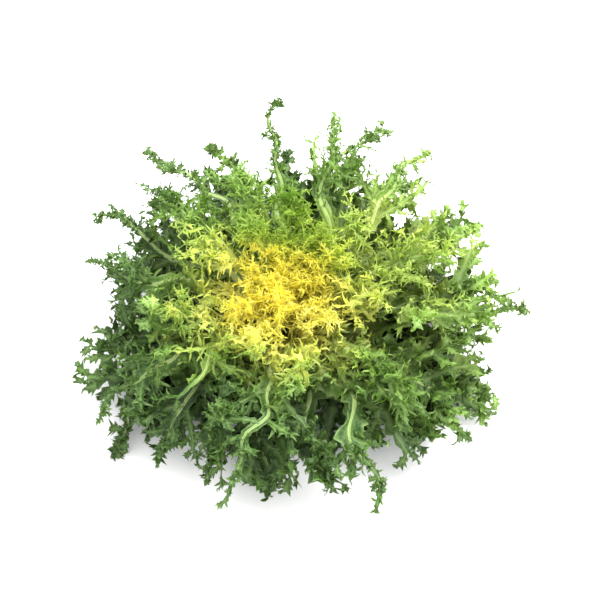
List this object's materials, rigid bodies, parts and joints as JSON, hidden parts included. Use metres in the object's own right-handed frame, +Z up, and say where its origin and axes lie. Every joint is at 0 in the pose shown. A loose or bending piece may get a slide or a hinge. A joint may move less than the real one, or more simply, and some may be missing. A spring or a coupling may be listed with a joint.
{
  "type": "curly endive head",
  "caption": "Whole head of curly endive, cut at the stem, with narrow frilled leaves arched out in a rosette and a blanched yellow heart.",
  "frame": {"origin": "centre of the stem's flat cut face, at the level of the surface that the head rests on", "axes": "+Z up the stem towards the heart; -Y is the side whose leaves droop lowest; +X to the right of a viewer looking along +Y"},
  "size_m": [0.2967, 0.2921, 0.1058],
  "materials": {
    "stem": "pale cream stem, matt, with a damp cut face",
    "outer_leaf": "deep green leaf with a soft sheen and paler ribs",
    "middle_leaf": "mid green leaf with a soft sheen and pale lime ribs",
    "inner_leaf": "yellow-green leaf with a soft sheen",
    "heart_leaf": "blanched bright yellow leaf, finely divided, with a soft sheen"
  },
  "bodies": {
    "root": {"cut_stem": "stem", "heart_leaf_01": "heart_leaf", "heart_leaf_02": "heart_leaf", "heart_leaf_03": "heart_leaf", "heart_leaf_04": "heart_leaf", "heart_leaf_05": "heart_leaf", "heart_leaf_06": "heart_leaf", "heart_leaf_07": "heart_leaf", "heart_leaf_08": "heart_leaf", "heart_leaf_09": "heart_leaf", "heart_leaf_10": "heart_leaf", "heart_leaf_11": "heart_leaf", "heart_leaf_12": "heart_leaf", "heart_leaf_13": "heart_leaf", "heart_leaf_14": "heart_leaf", "heart_leaf_15": "heart_leaf", "heart_leaf_16": "heart_leaf", "heart_leaf_17": "heart_leaf", "heart_leaf_18": "heart_leaf", "inner_leaf_01": "inner_leaf", "inner_leaf_02": "inner_leaf", "inner_leaf_03": "inner_leaf", "inner_leaf_04": "inner_leaf", "inner_leaf_05": "inner_leaf", "inner_leaf_06": "inner_leaf", "inner_leaf_07": "inner_leaf", "inner_leaf_08": "inner_leaf", "inner_leaf_09": "inner_leaf", "inner_leaf_10": "inner_leaf", "inner_leaf_11": "inner_leaf", "inner_leaf_12": "inner_leaf", "inner_leaf_13": "inner_leaf", "inner_leaf_14": "inner_leaf", "middle_leaf_01": "middle_leaf", "middle_leaf_02": "middle_leaf", "middle_leaf_03": "middle_leaf", "middle_leaf_04": "middle_leaf", "middle_leaf_05": "middle_leaf", "middle_leaf_06": "middle_leaf", "middle_leaf_07": "middle_leaf", "middle_leaf_08": "middle_leaf", "middle_leaf_09": "middle_leaf", "middle_leaf_10": "middle_leaf", "middle_leaf_11": "middle_leaf", "middle_leaf_12": "middle_leaf", "middle_leaf_13": "middle_leaf", "outer_leaf_01": "outer_leaf", "outer_leaf_02": "outer_leaf", "outer_leaf_03": "outer_leaf", "outer_leaf_04": "outer_leaf", "outer_leaf_05": "outer_leaf", "outer_leaf_06": "outer_leaf", "outer_leaf_07": "outer_leaf", "outer_leaf_08": "outer_leaf", "outer_leaf_09": "outer_leaf", "outer_leaf_10": "outer_leaf", "outer_leaf_11": "outer_leaf", "outer_leaf_12": "outer_leaf", "outer_leaf_13": "outer_leaf", "outer_leaf_14": "outer_leaf"}
  },
  "joints": []
}
